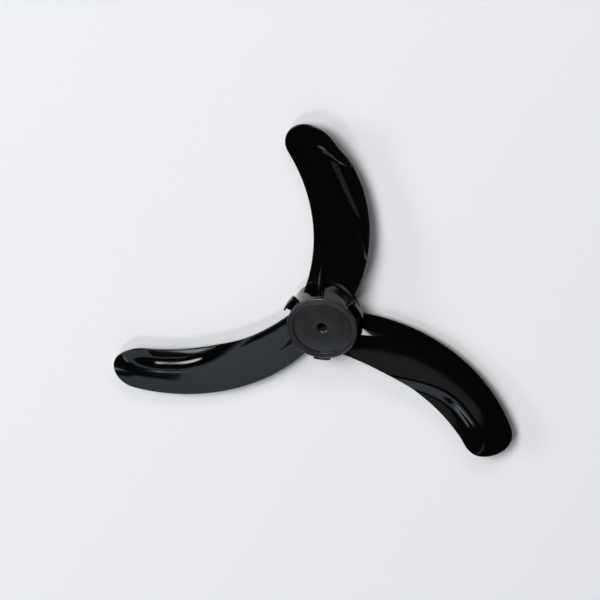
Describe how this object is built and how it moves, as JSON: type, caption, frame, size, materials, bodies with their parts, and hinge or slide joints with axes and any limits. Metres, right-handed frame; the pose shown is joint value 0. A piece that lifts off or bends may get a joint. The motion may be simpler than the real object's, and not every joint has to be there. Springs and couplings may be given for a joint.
{
  "type": "pedestal fan blade",
  "caption": "Black moulded fan blade for a pedestal fan: swept, pitched blades around a short hub with a ringed front disc and a shaft bore.",
  "frame": {"origin": "on the shaft axis, in the plane of the hub's rear rim", "axes": "+Z is the shaft axis out of the front of the hub; +Y runs along the upper blade in the picture; +X completes a right-handed frame"},
  "size_m": [0.3422, 0.3166, 0.029],
  "materials": {
    "black_plastic": "glossy black moulded plastic, satin on the hub"
  },
  "bodies": {
    "root": {"fan_blade": "black_plastic"}
  },
  "joints": []
}
